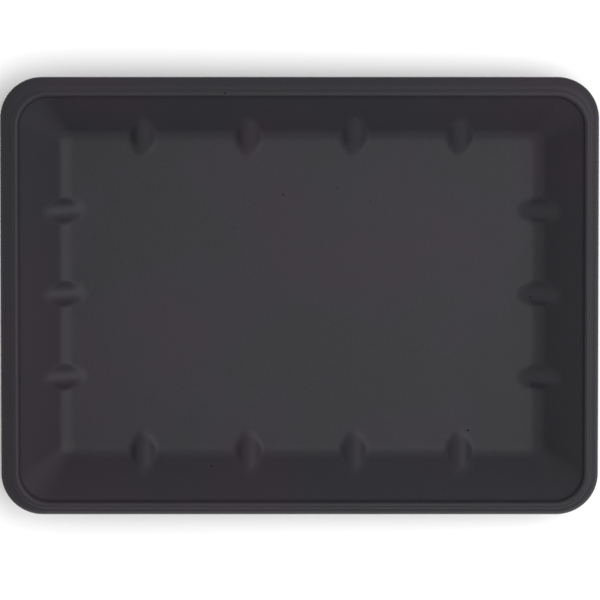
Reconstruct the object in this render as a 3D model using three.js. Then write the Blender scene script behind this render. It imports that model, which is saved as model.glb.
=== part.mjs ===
// Foam meat tray: one sheet of black polystyrene foam, pressed hot between two tools and punched out.
// The inner and the outer skin are lofted through rounded rectangles and meet round the rolled rim.
// Millimetres, +Z up, the long sides along X. The tray stands on its flat underside at z = 0.
import * as THREE from 'three';
import { mergeVertices } from 'three/addons/utils/BufferGeometryUtils.js';

// Over the rim.
const length = 302;
const width = 223;
const height = 28;
const outlineCornerRadius = 21;

// The foam, as it is in the floor and walls, under the flange and in the lip.
const foam = 3.2;
const flangeFoam = 2.8;
const lipFoam = 2.4;

// The heel is the line where the plane of a wall would meet the floor, as seen inside.
const heelInset = 30.7;
const heelRadius = 11;
const heelCornerRadius = 5;
const leastCornerRadius = 1;

// The rim, from the foot of its bead at the top of the wall out to the punched edge.
const rimWidth = 8.6;
const footCornerRadius = 15;
const beadInset = 6.5;
const beadRadius = 1.8;
const beadFootDepth = 2.8;
const beadFlankAngle = THREE.MathUtils.degToRad(10);
const beadBackAngle = THREE.MathUtils.degToRad(170);
const grooveInset = 4.3;
const grooveDepth = 1.7;
const flangeFall = 3.6;
const lipDrop = 7;
const lipEdgeRadius = 0.6;
const flangeFilletReach = 2.2;

// The ribs: ridges pressed in across the heel, raised inside and recessed outside.
const longSideRibs = 4;
const longSidePitch = 53.5;
const shortSideRibs = 3;
const shortSidePitch = 42.5;
const ribFloorReach = 9.6;
const ribWallReach = 9.6;
const ribHalfWidth = 6;
const ribBlend = 1;
const ribLeastCurve = 0.8;

// How finely the round shapes are divided.
const cornerSteps = 10;
const heelSteps = 4;
const ribSideSteps = 4;
const ribFloorSteps = 4;
const ribWallSteps = 4;

// Slopes that follow from the sizes.
const wallTop = height - beadFootDepth;
const wallSlope = (wallTop - foam) / (heelInset - rimWidth);
const wallAngle = Math.atan(wallSlope);
const ribSlope = wallSlope * ribWallReach / (ribFloorReach + ribWallReach);
const ribAngle = Math.atan(ribSlope);
const ribCrestCurve = ribHalfWidth ** 2 / (2 * ribFloorReach * ribSlope);
const filletStart = -heelRadius * Math.tan(wallAngle / 2);

// Each side has its outward direction, its distance from the middle and half the run along it.
const shortSide = { reach: length / 2, run: width / 2, ribs: shortSideRibs, pitch: shortSidePitch };
const longSide = { reach: width / 2, run: length / 2, ribs: longSideRibs, pitch: longSidePitch };
const sides = [shortSide, longSide, shortSide, longSide].map((side, quarter) => {
  return { ...side, facing: quarter * Math.PI / 2 };
});

// Corner radius of the outline that lies a given distance in from the tray's edge.
function cornerRadius(inset) {
  if (inset < rimWidth) {
    return THREE.MathUtils.lerp(outlineCornerRadius, footCornerRadius, inset / rimWidth);
  }
  const down = (inset - rimWidth) / (heelInset - rimWidth);
  return Math.max(THREE.MathUtils.lerp(footCornerRadius, heelCornerRadius, down), leastCornerRadius);
}

// Height of a skin without its ribs. The skin lies depth below the inner one, square to it,
// and out is measured from the heel line towards the wall.
function plainHeight(out, depth) {
  const radius = heelRadius + depth;
  const pastStart = out - filletStart;
  if (pastStart <= 0) {
    return foam - depth;
  }
  if (pastStart < radius * Math.sin(wallAngle)) {
    return foam - depth + radius - Math.sqrt(radius ** 2 - pastStart ** 2);
  }
  return foam + out * wallSlope - depth / Math.cos(wallAngle);
}

// Height of the straight crest of a rib, which runs from the floor to half way up the wall.
function crestHeight(out, depth) {
  return foam + (out + ribFloorReach) * ribSlope - depth / Math.cos(ribAngle);
}

// Radius of the rib's round back. Outside it is smaller by the foam, as far as the tool allows.
function crestCurve(depth) {
  return Math.max(ribCrestCurve - depth * Math.cos(ribAngle), ribLeastCurve);
}

// The higher of two surfaces, with the valley between them rounded.
function blendedHeight(one, other) {
  const overlap = Math.max(ribBlend - Math.abs(one - other), 0);
  return Math.max(one, other) + overlap ** 2 / (4 * ribBlend);
}

// Half the width of a rib with its blend, where it crosses a given outline.
function ribReach(out, depth) {
  const rise = crestHeight(out, depth) - plainHeight(out, depth) + ribBlend;
  return Math.sqrt(2 * crestCurve(depth) * Math.max(rise, ribBlend));
}

// Places along a side that carry points: across every rib, closer together at its edges.
function ribPlaces(side, reach) {
  const places = [];
  for (let rib = 0; rib < side.ribs; rib += 1) {
    const middle = (rib - (side.ribs - 1) / 2) * side.pitch;
    for (let step = -ribSideSteps; step <= ribSideSteps; step += 1) {
      const across = reach * Math.sin(step / ribSideSteps * Math.PI / 2);
      places.push({ along: middle + across, across });
    }
  }
  return places;
}

// One outline as eight runs of points, a straight and a corner for each side, anticlockwise.
// Extra places along the straights come with their own height.
function outline(inset, level, places = () => []) {
  const radius = cornerRadius(inset);
  return sides.flatMap((side) => {
    const outward = new THREE.Vector2(Math.cos(side.facing), Math.sin(side.facing));
    const onward = new THREE.Vector2(-outward.y, outward.x);
    const half = side.run - inset - radius;
    const at = (reach, along, z) => {
      const plan = outward.clone().multiplyScalar(reach).addScaledVector(onward, along);
      return new THREE.Vector3(plan.x, plan.y, z);
    };
    const reach = side.reach - inset;
    const inner = places(side).map((place) => at(reach, place.along, place.z));
    const straight = [at(reach, -half, level), ...inner, at(reach, half, level)];
    const corner = [];
    for (let step = 0; step <= cornerSteps; step += 1) {
      const turn = step / cornerSteps * Math.PI / 2;
      const swing = radius * (1 - Math.cos(turn));
      corner.push(at(reach - swing, half + radius * Math.sin(turn), level));
    }
    return [straight, corner];
  });
}

// An outline across the heel, which rises over each rib.
function heelOutline(out, depth) {
  const plain = plainHeight(out, depth);
  const lift = (place) => {
    const back = crestHeight(out, depth) - place.across ** 2 / (2 * crestCurve(depth));
    return { ...place, z: blendedHeight(plain, back) };
  };
  const places = (side) => ribPlaces(side, ribReach(out, depth)).map(lift);
  return outline(heelInset - out, plain, places);
}

// The distances from the heel line at which a skin has an outline, from the floor up the wall.
function heelStations(depth) {
  const tip = -ribFloorReach + depth * Math.tan(ribAngle / 2) - ribBlend / ribSlope;
  const levelling = depth * (1 / Math.cos(wallAngle) - 1 / Math.cos(ribAngle)) + ribBlend;
  const top = ribWallReach + levelling / (wallSlope - ribSlope);
  const filletEnd = filletStart + (heelRadius + depth) * Math.sin(wallAngle);
  const stations = [];
  for (let step = 0; step < ribFloorSteps; step += 1) {
    stations.push(THREE.MathUtils.lerp(tip, filletStart, step / ribFloorSteps));
  }
  for (let step = 0; step <= heelSteps; step += 1) {
    const turn = step / heelSteps * wallAngle;
    stations.push(filletStart + (heelRadius + depth) * Math.sin(turn));
  }
  for (let step = 1; step <= ribWallSteps; step += 1) {
    stations.push(THREE.MathUtils.lerp(filletEnd, top, step / ribWallSteps));
  }
  return stations;
}

// One skin of the tray, from the middle of the floor to above the ribs.
function skin(depth) {
  const level = foam - depth;
  const middle = Array.from({ length: 2 * sides.length }, () => [new THREE.Vector3(0, 0, level)]);
  const stations = heelStations(depth);
  const floorEdge = outline(heelInset - stations[0] + ribFloorReach / 2, level);
  return [middle, floorEdge, ...stations.map((out) => heelOutline(out, depth))];
}

// Points on an arc in the section, where x is the inset and y the height.
function arc(x, y, xRadius, yRadius, from, to, steps) {
  return new THREE.EllipseCurve(x, y, xRadius, yRadius, from, to, from > to).getPoints(steps);
}

// The section of the rim, from the top of the inner wall round to the top of the outer one.
function rimSection() {
  const flangeTop = height - grooveDepth;
  const flangeUnder = flangeTop - flangeFoam;
  const lipBottom = height - lipDrop;
  const lipInner = lipFoam - lipEdgeRadius;
  const edgeTop = lipBottom + lipEdgeRadius;
  const outerWallInset = (z) => heelInset - (z - foam + foam / Math.cos(wallAngle)) / wallSlope;
  const under = new THREE.Vector2(outerWallInset(flangeUnder), flangeUnder);
  const filletEnd = flangeUnder - flangeFilletReach * Math.sin(wallAngle);
  const wallEnd = new THREE.Vector2(outerWallInset(filletEnd), filletEnd);
  const underTop = new THREE.Vector2(grooveInset, flangeUnder);
  return [
    new THREE.Vector2(rimWidth, wallTop),
    ...arc(beadInset, height - beadRadius, beadRadius, beadRadius, beadFlankAngle, beadBackAngle, 8),
    ...arc(grooveInset, flangeTop - flangeFall, grooveInset, flangeFall, Math.PI / 2, Math.PI, 7),
    ...arc(lipEdgeRadius, edgeTop, lipEdgeRadius, lipEdgeRadius, Math.PI, Math.PI * 1.5, 2),
    ...arc(lipInner, edgeTop, lipEdgeRadius, lipEdgeRadius, Math.PI * 1.5, Math.PI * 2, 2),
    ...arc(grooveInset, edgeTop, grooveInset - lipFoam, flangeUnder - edgeTop, Math.PI, Math.PI / 2, 4),
    ...new THREE.QuadraticBezierCurve(underTop, under, wallEnd).getPoints(4).slice(1),
  ];
}

// Triangles between two runs of points. Where one run has more points, they fan out from the other's.
function joinRuns(corners, near, far) {
  let i = 0;
  let j = 0;
  while (i < near.length - 1 || j < far.length - 1) {
    const nearFirst = (i + 0.5) * (far.length - 1) <= (j + 0.5) * (near.length - 1);
    if (j === far.length - 1 || (i < near.length - 1 && nearFirst)) {
      corners.push(near[i], far[j], near[i + 1]);
      i += 1;
    } else {
      corners.push(near[i], far[j], far[j + 1]);
      j += 1;
    }
  }
}

// The whole tray: up the inner skin, over the rim and back down the outer skin.
function trayGeometry() {
  const rim = rimSection().map((point) => outline(point.x, point.y));
  const loft = [...skin(0), ...rim, ...skin(foam).reverse()];
  const corners = [];
  for (let ring = 0; ring + 1 < loft.length; ring += 1) {
    loft[ring].forEach((run, index) => joinRuns(corners, run, loft[ring + 1][index]));
  }
  const geometry = mergeVertices(new THREE.BufferGeometry().setFromPoints(corners));
  geometry.computeVertexNormals();
  return geometry;
}

const blackFoam = new THREE.MeshStandardMaterial({
  name: 'black foam',
  color: 0x3b393d,
  roughness: 0.62,
  metalness: 0,
});

const tray = new THREE.Mesh(trayGeometry(), blackFoam);
tray.name = 'tray';

const part = new THREE.Group();
part.name = 'foam_meat_tray';
part.add(tray);

export default part;
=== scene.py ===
import math

import bmesh
import bpy
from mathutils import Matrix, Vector


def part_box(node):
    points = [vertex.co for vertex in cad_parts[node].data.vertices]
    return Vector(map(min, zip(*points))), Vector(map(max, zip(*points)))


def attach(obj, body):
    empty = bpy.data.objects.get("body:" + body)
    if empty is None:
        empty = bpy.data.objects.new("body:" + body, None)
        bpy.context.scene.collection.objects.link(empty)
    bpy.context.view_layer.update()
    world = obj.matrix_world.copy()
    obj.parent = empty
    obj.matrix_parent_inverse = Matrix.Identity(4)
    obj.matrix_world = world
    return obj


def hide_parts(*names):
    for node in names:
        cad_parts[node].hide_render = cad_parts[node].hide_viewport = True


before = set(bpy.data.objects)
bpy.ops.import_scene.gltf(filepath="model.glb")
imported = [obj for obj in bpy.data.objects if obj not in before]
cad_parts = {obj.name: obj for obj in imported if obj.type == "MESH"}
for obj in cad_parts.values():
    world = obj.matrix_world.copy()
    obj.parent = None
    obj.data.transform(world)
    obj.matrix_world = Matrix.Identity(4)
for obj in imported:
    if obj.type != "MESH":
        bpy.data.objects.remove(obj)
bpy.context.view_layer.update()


# The tray. One sheet of black polystyrene foam, pressed hot between two moulds and punched out, so
# that floor, walls, ribs and rim are one piece. Its mesh is a stack of bridged outlines that follow
# its section: from the edge of the flat floor up the wall, over the rim and back underneath.
MM = 0.001
low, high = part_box("tray")
half_length = (high.x - low.x) / 2
half_width = (high.y - low.y) / 2
tray_height = high.z

# The heel is the line where the plane of a wall would meet the floor. Round it runs a fillet.
foam = 3.2 * MM
heel_inset = 30.7 * MM
heel_radius = 11 * MM
heel_reach = 16.5 * MM
heel_steps = 9

outline_corner = 21 * MM
foot_corner = 15 * MM
heel_corner = 5 * MM
corner_steps = 16

# The rim, from the foot of its bead at the top of the wall, over a groove, out to the flange.
rim_width = 8.6 * MM
bead_inset = 6.5 * MM
bead_radius = 1.8 * MM
bead_foot_depth = 2.8 * MM
bead_flank_angle = 10
bead_back_angle = 170
bead_steps = 16
foot_crease = 1.0 * MM
foot_crease_steps = 5
groove_inset = 4.3 * MM
groove_depth = 1.7 * MM
groove_crease = 0.45 * MM
groove_crease_steps = 3

# The flange rolls down to the punched edge of the lip and is hollow underneath.
flange_fall = 3.6 * MM
flange_round = 1.5
flange_foam = 2.8 * MM
flange_steps = 12
lip_foam = 2.4 * MM
lip_bottom = tray_height - 7 * MM
punched_edge_radius = 0.45 * MM
punched_edge_steps = 3
punch_taper = 0.15 * MM
hollow_steps = 8
hollow_fillet = 2.2 * MM
hollow_fillet_steps = 6

# The punch sat a little off the pressed shape, so the flange is wider on two sides.
punch_offset = Vector((1.0, -1.2)) * MM

# How far apart the points of the mesh lie up the walls, and how many lie along the straights.
ring_spacing = 1.25 * MM
long_side_cuts = 119
short_side_cuts = 75

wall_top = tray_height - bead_foot_depth
wall_slope = (wall_top - foam) / (heel_inset - rim_width)
wall_angle = math.atan(wall_slope)
fillet_start = -heel_radius * math.tan(wall_angle / 2)


def corner_radius(inset):
    """Radius of the outline's corners: wide at the rim, narrow at the heel."""
    if inset < rim_width:
        return outline_corner + (foot_corner - outline_corner) * inset / rim_width
    down = (inset - rim_width) / (heel_inset - rim_width)
    return foot_corner + (heel_corner - foot_corner) * down


def plain_height(out, depth):
    """Height of a skin that lies depth under the inner one, out from the heel line, between ribs."""
    radius = heel_radius + depth
    past = out - fillet_start
    if past <= 0:
        return foam - depth
    if past < radius * math.sin(wall_angle):
        return foam - depth + radius - math.sqrt(radius ** 2 - past ** 2)
    return foam + out * wall_slope - depth / math.cos(wall_angle)


def heel_stations(depth):
    """Section of one skin from the edge of the flat floor to above the ribs: insets and heights."""
    turns = [wall_angle * k / heel_steps for k in range(heel_steps + 1)]
    outs = [fillet_start + (heel_radius + depth) * math.sin(turn) for turn in turns] + [heel_reach]
    return [(heel_inset - out, plain_height(out, depth)) for out in outs]


def arc(x, z, x_radius, z_radius, start, end, steps):
    """Points of the section on an arc, with angles in degrees from the inward direction."""
    turns = [math.radians(start + (end - start) * k / steps) for k in range(steps + 1)]
    return [(x + x_radius * math.cos(t), z + z_radius * math.sin(t)) for t in turns]


def curve(first, corner, last, steps):
    """Points of the section on a curve from first to last that bends towards the corner."""
    shares = [k / steps for k in range(steps + 1)]
    return [tuple(first * (1 - t) ** 2 + corner * 2 * t * (1 - t) + last * t ** 2) for t in shares]


def creased(before, corner, after, reach, steps):
    """Points that round a corner of the section between two neighbours."""
    before, corner, after = Vector(before), Vector(corner), Vector(after)
    first = corner + (before - corner).normalized() * reach
    last = corner + (after - corner).normalized() * reach
    return curve(first, corner, last, steps)


def flange_section(flange_top):
    """Section of the flange, from the groove to the top of the punched edge."""
    turns = [math.radians(90) * k / flange_steps for k in range(flange_steps + 1)]
    falls = [flange_fall * (1 - math.cos(t) ** flange_round) for t in turns]
    insets = [groove_inset * (1 - math.sin(t) ** flange_round) for t in turns]
    return [(inset, flange_top - fall) for inset, fall in zip(insets, falls)]


def underside_section(inner_level, under):
    """Section of the hollow under the rim, from the lip's inner edge to the outer wall."""
    arch_width = groove_inset - lip_foam
    arch = arc(groove_inset, inner_level, arch_width, under - inner_level, 180, 90, hollow_steps)
    lift = foam / math.cos(wall_angle) - foam
    meeting = Vector((heel_inset - (under + lift) / wall_slope, under))
    down_wall = Vector((math.cos(wall_angle), -math.sin(wall_angle)))
    arch_top = Vector((groove_inset, under))
    wall_end = meeting + down_wall * hollow_fillet
    return arch[1:] + curve(arch_top, meeting, wall_end, hollow_fillet_steps)[1:]


def rim_stations():
    """Section of the rim from the top of the inner wall round to the top of the outer one."""
    bead_level = tray_height - bead_radius
    angles = (bead_flank_angle, bead_back_angle)
    bead = arc(bead_inset, bead_level, bead_radius, bead_radius, *angles, bead_steps)
    flange_top = tray_height - groove_depth
    flange = flange_section(flange_top)

    # The creases round the bead's foot and, in place of the bead's last points, the groove behind it.
    heel_point = (heel_inset, foam)
    bead_foot = (rim_width, wall_top)
    foot = creased(heel_point, bead_foot, bead[0], foot_crease, foot_crease_steps)
    groove = creased(bead[-3], bead[-1], flange[0], groove_crease, groove_crease_steps)

    edge = punched_edge_radius
    inner_level = lip_bottom + edge + punch_taper
    outer_edge = arc(edge, lip_bottom + edge, edge, edge, 180, 270, punched_edge_steps)
    inner_edge = arc(lip_foam - edge, inner_level, edge, edge, 270, 360, punched_edge_steps)
    underside = underside_section(inner_level, flange_top - flange_foam)
    return foot + bead[:-2] + groove + flange[1:] + outer_edge + inner_edge + underside


# The outlines are laid as planes with bevelled corners, which keep only their edges. Every point
# carries the number of its outline, and a point between two outlines takes that of one of them.
bpy.ops.object.select_all(action="DESELECT")
bpy.ops.mesh.primitive_plane_add(size=1, location=(0, 0, 0))
tray = bpy.context.active_object
tray.name = "foam_tray"
bpy.ops.object.mode_set(mode="EDIT")
bpy.ops.mesh.select_all(action="SELECT")
bpy.ops.mesh.delete(type="VERT")
bmesh.from_edit_mesh(tray.data).verts.layers.int.new("station")

stations = heel_stations(0) + rim_stations() + heel_stations(foam)[::-1]
for number, (inset, height) in enumerate(stations):
    bpy.ops.mesh.primitive_plane_add(size=2, location=(0, 0, height))
    sides = (half_length - inset, half_width - inset, 1)
    bpy.ops.transform.resize(value=sides, center_override=(0, 0, height))
    bpy.ops.mesh.bevel(offset=corner_radius(inset), segments=corner_steps, affect="VERTICES")
    mesh = bmesh.from_edit_mesh(tray.data)
    layer = mesh.verts.layers.int["station"]
    for vertex in mesh.verts:
        if vertex.select:
            vertex[layer] = number
    bpy.ops.mesh.delete(type="ONLY_FACE")


def select_outlines(*numbers):
    """Selects the open edges of the outlines with these numbers, and nothing else."""
    bpy.ops.mesh.select_all(action="DESELECT")
    mesh = bmesh.from_edit_mesh(tray.data)
    layer = mesh.verts.layers.int["station"]
    for edge in mesh.edges:
        ends = {vertex[layer] for vertex in edge.verts}
        if len(edge.link_faces) < 2 and len(ends) == 1 and ends <= set(numbers):
            edge.select_set(True)
    bmesh.update_edit_mesh(tray.data)


for number, (near, far) in enumerate(zip(stations, stations[1:])):
    select_outlines(number, number + 1)
    cuts = int(math.dist(near, far) / ring_spacing) if near[0] > rim_width else 0
    bpy.ops.mesh.bridge_edge_loops(number_cuts=cuts, interpolation="LINEAR")
for number in (0, len(stations) - 1):
    select_outlines(number)
    bpy.ops.mesh.edge_face_add()

# Everything but the flange shifts by the punch's offset, and the flange by less towards its edge.
mesh = bmesh.from_edit_mesh(tray.data)
layer = mesh.verts.layers.int["station"]
for vertex in mesh.verts:
    inset = stations[vertex[layer]][0]
    vertex.co.xy += punch_offset * min(inset / groove_inset, 1)
bmesh.update_edit_mesh(tray.data)

# The straights are divided evenly along the tray, so that the ribs have points to be pressed from.
long_edge = half_width / 2
for axis, cuts in enumerate((long_side_cuts, short_side_cuts)):
    bpy.ops.mesh.select_all(action="DESELECT")
    mesh = bmesh.from_edit_mesh(tray.data)
    for edge in mesh.edges:
        if abs(edge.verts[0].co[axis] - edge.verts[1].co[axis]) > long_edge:
            edge.select_set(True)
    bmesh.update_edit_mesh(tray.data)
    bpy.ops.mesh.subdivide(number_cuts=cuts)

# The ribs. Ridges that the moulds press across the heel, which stiffen the tray and hold the meat
# off its heel: raised inside, recessed outside, each with a straight crest and a round back.
rib_rows = (
    {"axis": 1, "reach": half_width, "count": 4, "pitch": 53.5 * MM},
    {"axis": 0, "reach": half_length, "count": 3, "pitch": 42.5 * MM},
)
rib_floor_reach = 9.6 * MM
rib_wall_reach = 9.6 * MM
rib_half_width = 7.2 * MM
rib_blend = 1.4 * MM
rib_least_radius = 0.8 * MM

# The part of a skin that a rib can reach, down the floor and to each side of its middle.
rib_floor_window = 15 * MM
rib_side_window = 11 * MM

rib_slope = wall_slope * rib_wall_reach / (rib_floor_reach + rib_wall_reach)
rib_angle = math.atan(rib_slope)
rib_back_radius = rib_half_width ** 2 / (2 * rib_floor_reach * rib_slope)


def rib_places(point):
    """How far a point lies out from the heel line and across from the nearest rib, on each side."""
    for row in rib_rows:
        axis = row["axis"]
        for way in (-1, 1):
            out = heel_inset - row["reach"] + way * (point[axis] - punch_offset[axis])
            along = point[1 - axis] - punch_offset[1 - axis]
            middles = [(k - (row["count"] - 1) / 2) * row["pitch"] for k in range(row["count"])]
            across = min((along - middle for middle in middles), key=abs)
            yield out, across


def ribbed_height(out, across, depth):
    """Height of a skin on or beside a rib, with the valley at the rib's foot rounded."""
    plain = plain_height(out, depth)
    crest = foam + (out + rib_floor_reach) * rib_slope - depth / math.cos(rib_angle)
    radius = max(rib_back_radius - depth * math.cos(rib_angle), rib_least_radius)
    back = crest - across ** 2 / (2 * radius)
    overlap = max(rib_blend - abs(plain - back), 0)
    return max(plain, back) + overlap ** 2 / (4 * rib_blend)


def near_rib(point):
    """The place beside a rib, or None if the point lies on none of them."""
    for out, across in rib_places(point):
        if -rib_floor_window < out < heel_reach and abs(across) < rib_side_window:
            return out, across
    return None


bpy.ops.mesh.select_all(action="DESELECT")
mesh = bmesh.from_edit_mesh(tray.data)
for face in mesh.faces:
    if len(face.verts) == 4 and near_rib(face.calc_center_median()):
        face.select_set(True)
bmesh.update_edit_mesh(tray.data)
bpy.ops.mesh.subdivide(number_cuts=1)

bpy.ops.mesh.select_all(action="SELECT")
bpy.ops.mesh.normals_make_consistent(inside=False)
mesh = bmesh.from_edit_mesh(tray.data)
mesh.normal_update()
for vertex in mesh.verts:
    place = near_rib(vertex.co)
    if place:
        vertex.co.z = ribbed_height(*place, 0 if vertex.normal.z > 0 else foam)
bmesh.update_edit_mesh(tray.data)
bpy.ops.object.mode_set(mode="OBJECT")
bpy.ops.object.shade_smooth()

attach(tray, "root")
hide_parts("tray")


class Signal:
    """A shader socket that adds Math nodes when it is used in an expression."""

    def __init__(self, shader, socket):
        self.shader = shader
        self.socket = socket

    def joined(self, operation, one, other=0.0):
        node = self.shader.add("ShaderNodeMath", {"operation": operation}, {0: one, 1: other})
        return Signal(self.shader, node.outputs[0])

    def __add__(self, other):
        return self.joined("ADD", self, other)

    __radd__ = __add__

    def __sub__(self, other):
        return self.joined("SUBTRACT", self, other)

    def __rsub__(self, other):
        return self.joined("SUBTRACT", other, self)

    def __mul__(self, other):
        return self.joined("MULTIPLY", self, other)

    __rmul__ = __mul__

    def __abs__(self):
        return self.joined("ABSOLUTE", self)

    def larger(self, other):
        return self.joined("MAXIMUM", self, other)


class Shader:
    """A material's node tree, with its surface shader and the piece's own coordinates."""

    def __init__(self, name):
        self.material = bpy.data.materials.new(name)
        self.material.use_nodes = True
        self.tree = self.material.node_tree
        self.surface = self.tree.nodes["Principled BSDF"]
        self.coordinates = self.add("ShaderNodeTexCoord").outputs["Object"]

    def add(self, kind, settings=None, inputs=None):
        node = self.tree.nodes.new(kind)
        for name, value in (settings or {}).items():
            setattr(node, name, value)
        self.connect(node, inputs or {})
        return node

    def connect(self, node, inputs):
        for name, value in inputs.items():
            if isinstance(value, Signal):
                value = value.socket
            if isinstance(value, bpy.types.NodeSocket):
                self.tree.links.new(value, node.inputs[name])
            else:
                node.inputs[name].default_value = value

    def noise(self, size, detail, roughness=0.5):
        """Noise with blobs of about the given size in metres, from 0 to 1."""
        inputs = {"Vector": self.coordinates, "Scale": 1 / size, "Detail": detail, "Roughness": roughness}
        node = self.add("ShaderNodeTexNoise", {}, inputs)
        return Signal(self, node.outputs["Fac"])

    def cells(self, size):
        """Distance from the middle of cells of about the given size in metres, 0 to about 1."""
        inputs = {"Vector": self.coordinates, "Scale": 1 / size}
        node = self.add("ShaderNodeTexVoronoi", {"feature": "F1"}, inputs)
        return Signal(self, node.outputs["Distance"])

    def distance(self, centre):
        """Distance of the surface from a point of the piece."""
        inputs = {0: self.coordinates, 1: centre}
        node = self.add("ShaderNodeVectorMath", {"operation": "DISTANCE"}, inputs)
        return Signal(self, node.outputs["Value"])

    def ramp(self, value, low, high):
        """A smooth step of a value between two limits."""
        inputs = {"Value": value, "From Min": low, "From Max": high}
        node = self.add("ShaderNodeMapRange", {"interpolation_type": "SMOOTHSTEP"}, inputs)
        return Signal(self, node.outputs["Result"])

    def blended(self, factor, one, other):
        """A colour between two, each a colour or a link."""
        node = self.add("ShaderNodeMix", {"data_type": "RGBA"}, {0: factor, 6: one, 7: other})
        return node.outputs[2]

    def bump(self, height, distance, normal=None):
        """A normal raised by a height from 0 to 1, over a distance in metres."""
        inputs = {"Height": height, "Distance": distance, "Strength": 1.0}
        if normal:
            inputs["Normal"] = normal
        return self.add("ShaderNodeBump", {}, inputs).outputs["Normal"]


foam_skin = Shader("black_foam")
place = foam_skin.add("ShaderNodeSeparateXYZ", {}, {0: foam_skin.coordinates})
at_x, at_y, at_z = [Signal(foam_skin, place.outputs[axis]) for axis in "XYZ"]

# The skin has faint clouds of tone, a fine peel, and the outlines of the cells just under it.
clouds = foam_skin.noise(85 * MM, 2.0)
patches = foam_skin.noise(16 * MM, 3.0)
peel = foam_skin.noise(2.2 * MM, 3.0, 0.6)
swell = foam_skin.noise(40 * MM, 1.0)
cells = foam_skin.cells(0.9 * MM)

# The punched edge cuts the cells open.
cut_height = 0.7 * MM
cut_fade = 0.4 * MM
past_lip = (abs(at_x) - (half_length - lip_foam)).larger(abs(at_y) - (half_width - lip_foam))
above_cut = foam_skin.ramp(at_z, lip_bottom, lip_bottom + cut_height)
cut = foam_skin.ramp(past_lip, -cut_fade, 0) * (1 - above_cut)
open_cells = foam_skin.cells(0.45 * MM)

# Here and there a cell has broken through the skin and left a pit, faint ones anywhere and four
# clear ones at places along and across the tray in millimetres. Each pit is dented in the relief and
# darkened with painted shade in the colour.
pit_radius = 0.7 * MM
pit_places = ((-37.7, 104.0), (-44.8, -88.7), (116.8, -2.9), (85.4, -71.5))
pits = foam_skin.ramp(foam_skin.noise(3.4 * MM, 0.0), 0.9, 0.94) * 0.5
for along, across in pit_places:
    above = Vector((along * MM, across * MM, 2 * tray_height))
    centre = tray.ray_cast(above, Vector((0, 0, -1)))[1]
    away = foam_skin.distance(tuple(centre))
    pits = pits.larger(1 - foam_skin.ramp(away, 0.35 * pit_radius, pit_radius))

# Colours of the skin in its two tones and of the cell walls, and painted shade for the bottom of a pit.
violet = (0.0246, 0.0203, 0.0261, 1)
neutral = (0.0212, 0.0211, 0.0249, 1)
cell_wall = (0.0300, 0.0285, 0.0325, 1)
painted_pit_shade = (0.0060, 0.0055, 0.0065, 1)
tone = foam_skin.blended(foam_skin.ramp(clouds, 0.42, 0.58), violet, neutral)
tone = foam_skin.blended(0.25 * foam_skin.ramp(cells, 0.35, 0.75), tone, cell_wall)
tone = foam_skin.blended(0.6 * cut * open_cells, tone, cell_wall)
# The pits are darkened to the painted shade.
tone = foam_skin.blended(pits, tone, painted_pit_shade)

# The relief runs from the slow swell of the sheet to the single cells.
relief = foam_skin.bump(swell, 0.25 * MM)
relief = foam_skin.bump(open_cells * cut - pits, 0.15 * MM, relief)
relief = foam_skin.bump(peel, 0.03 * MM, relief)
relief = foam_skin.bump(1 - cells, 0.02 * MM, relief)

foam_skin.connect(foam_skin.surface, {
    "Base Color": tone,
    "Specular IOR Level": 0.13,
    "Roughness": 0.36 + 0.08 * (patches - 0.5) + 0.06 * (peel - 0.5) + 0.4 * cut.larger(pits),
    "Normal": relief,
})
tray.data.materials.append(foam_skin.material)


# The studio. A white table that runs out of sight in a pale room, under a broad soft box overhead on
# the right and a small one beside it that picks out the ribs.
table_side = 60.0
table_gap = 0.2 * MM
bpy.ops.object.select_all(action="DESELECT")
bpy.ops.mesh.primitive_plane_add(size=table_side, location=(0, 0, -table_gap))
table = bpy.context.active_object
table.name = "white_table"
table_paint = Shader("table_paint")
table_paint.connect(table_paint.surface, {"Base Color": (0.93, 0.93, 0.93, 1), "Roughness": 0.9})
table.data.materials.append(table_paint.material)

room = bpy.data.worlds.new("pale_room")
room.use_nodes = True
room_light = room.node_tree.nodes["Background"]
room_light.inputs["Color"].default_value = (1, 1, 1, 1)
room_light.inputs["Strength"].default_value = 0.78
bpy.context.scene.world = room


def soft_box(name, location, size, power):
    """A square soft light that faces the tray."""
    bpy.ops.object.light_add(type="AREA", location=location)
    light = bpy.context.active_object
    light.name = name
    light.data.shape = "SQUARE"
    light.data.size = size
    light.data.energy = power
    light.rotation_euler = (-Vector(location)).to_track_quat("-Z", "Y").to_euler()
    light.visible_camera = False


soft_box("overhead_box", location=(0.46, 0.05, 0.9), size=1.35, power=10.0)
soft_box("right_box", location=(0.45, 0.15, 0.8), size=0.35, power=0.4)

# The camera. It looks down from a little towards the far side of the tray, and from so far off that
# the sides of the tray stay almost parallel. The picture's sizes are in pixels.
picture_side = 600
picture_length = 597.5
picture_middle = Vector((299.6, 295.8))
camera_distance = 6.0
camera_lean = math.radians(8)
bpy.ops.object.camera_add(rotation=(-camera_lean, 0, 0))
camera = bpy.context.active_object
backward = camera.rotation_euler.to_matrix() @ Vector((0, 0, 1))
camera.location = Vector((0, 0, lip_bottom)) + backward * camera_distance
view_width = 2 * half_length * picture_side / picture_length
camera.data.lens = camera.data.sensor_width * camera_distance / view_width
camera.data.shift_x = (picture_side / 2 - picture_middle.x) / picture_side
camera.data.shift_y = (picture_middle.y - picture_side / 2) / picture_side
bpy.context.scene.camera = camera
bpy.context.scene.view_settings.view_transform = "Standard"
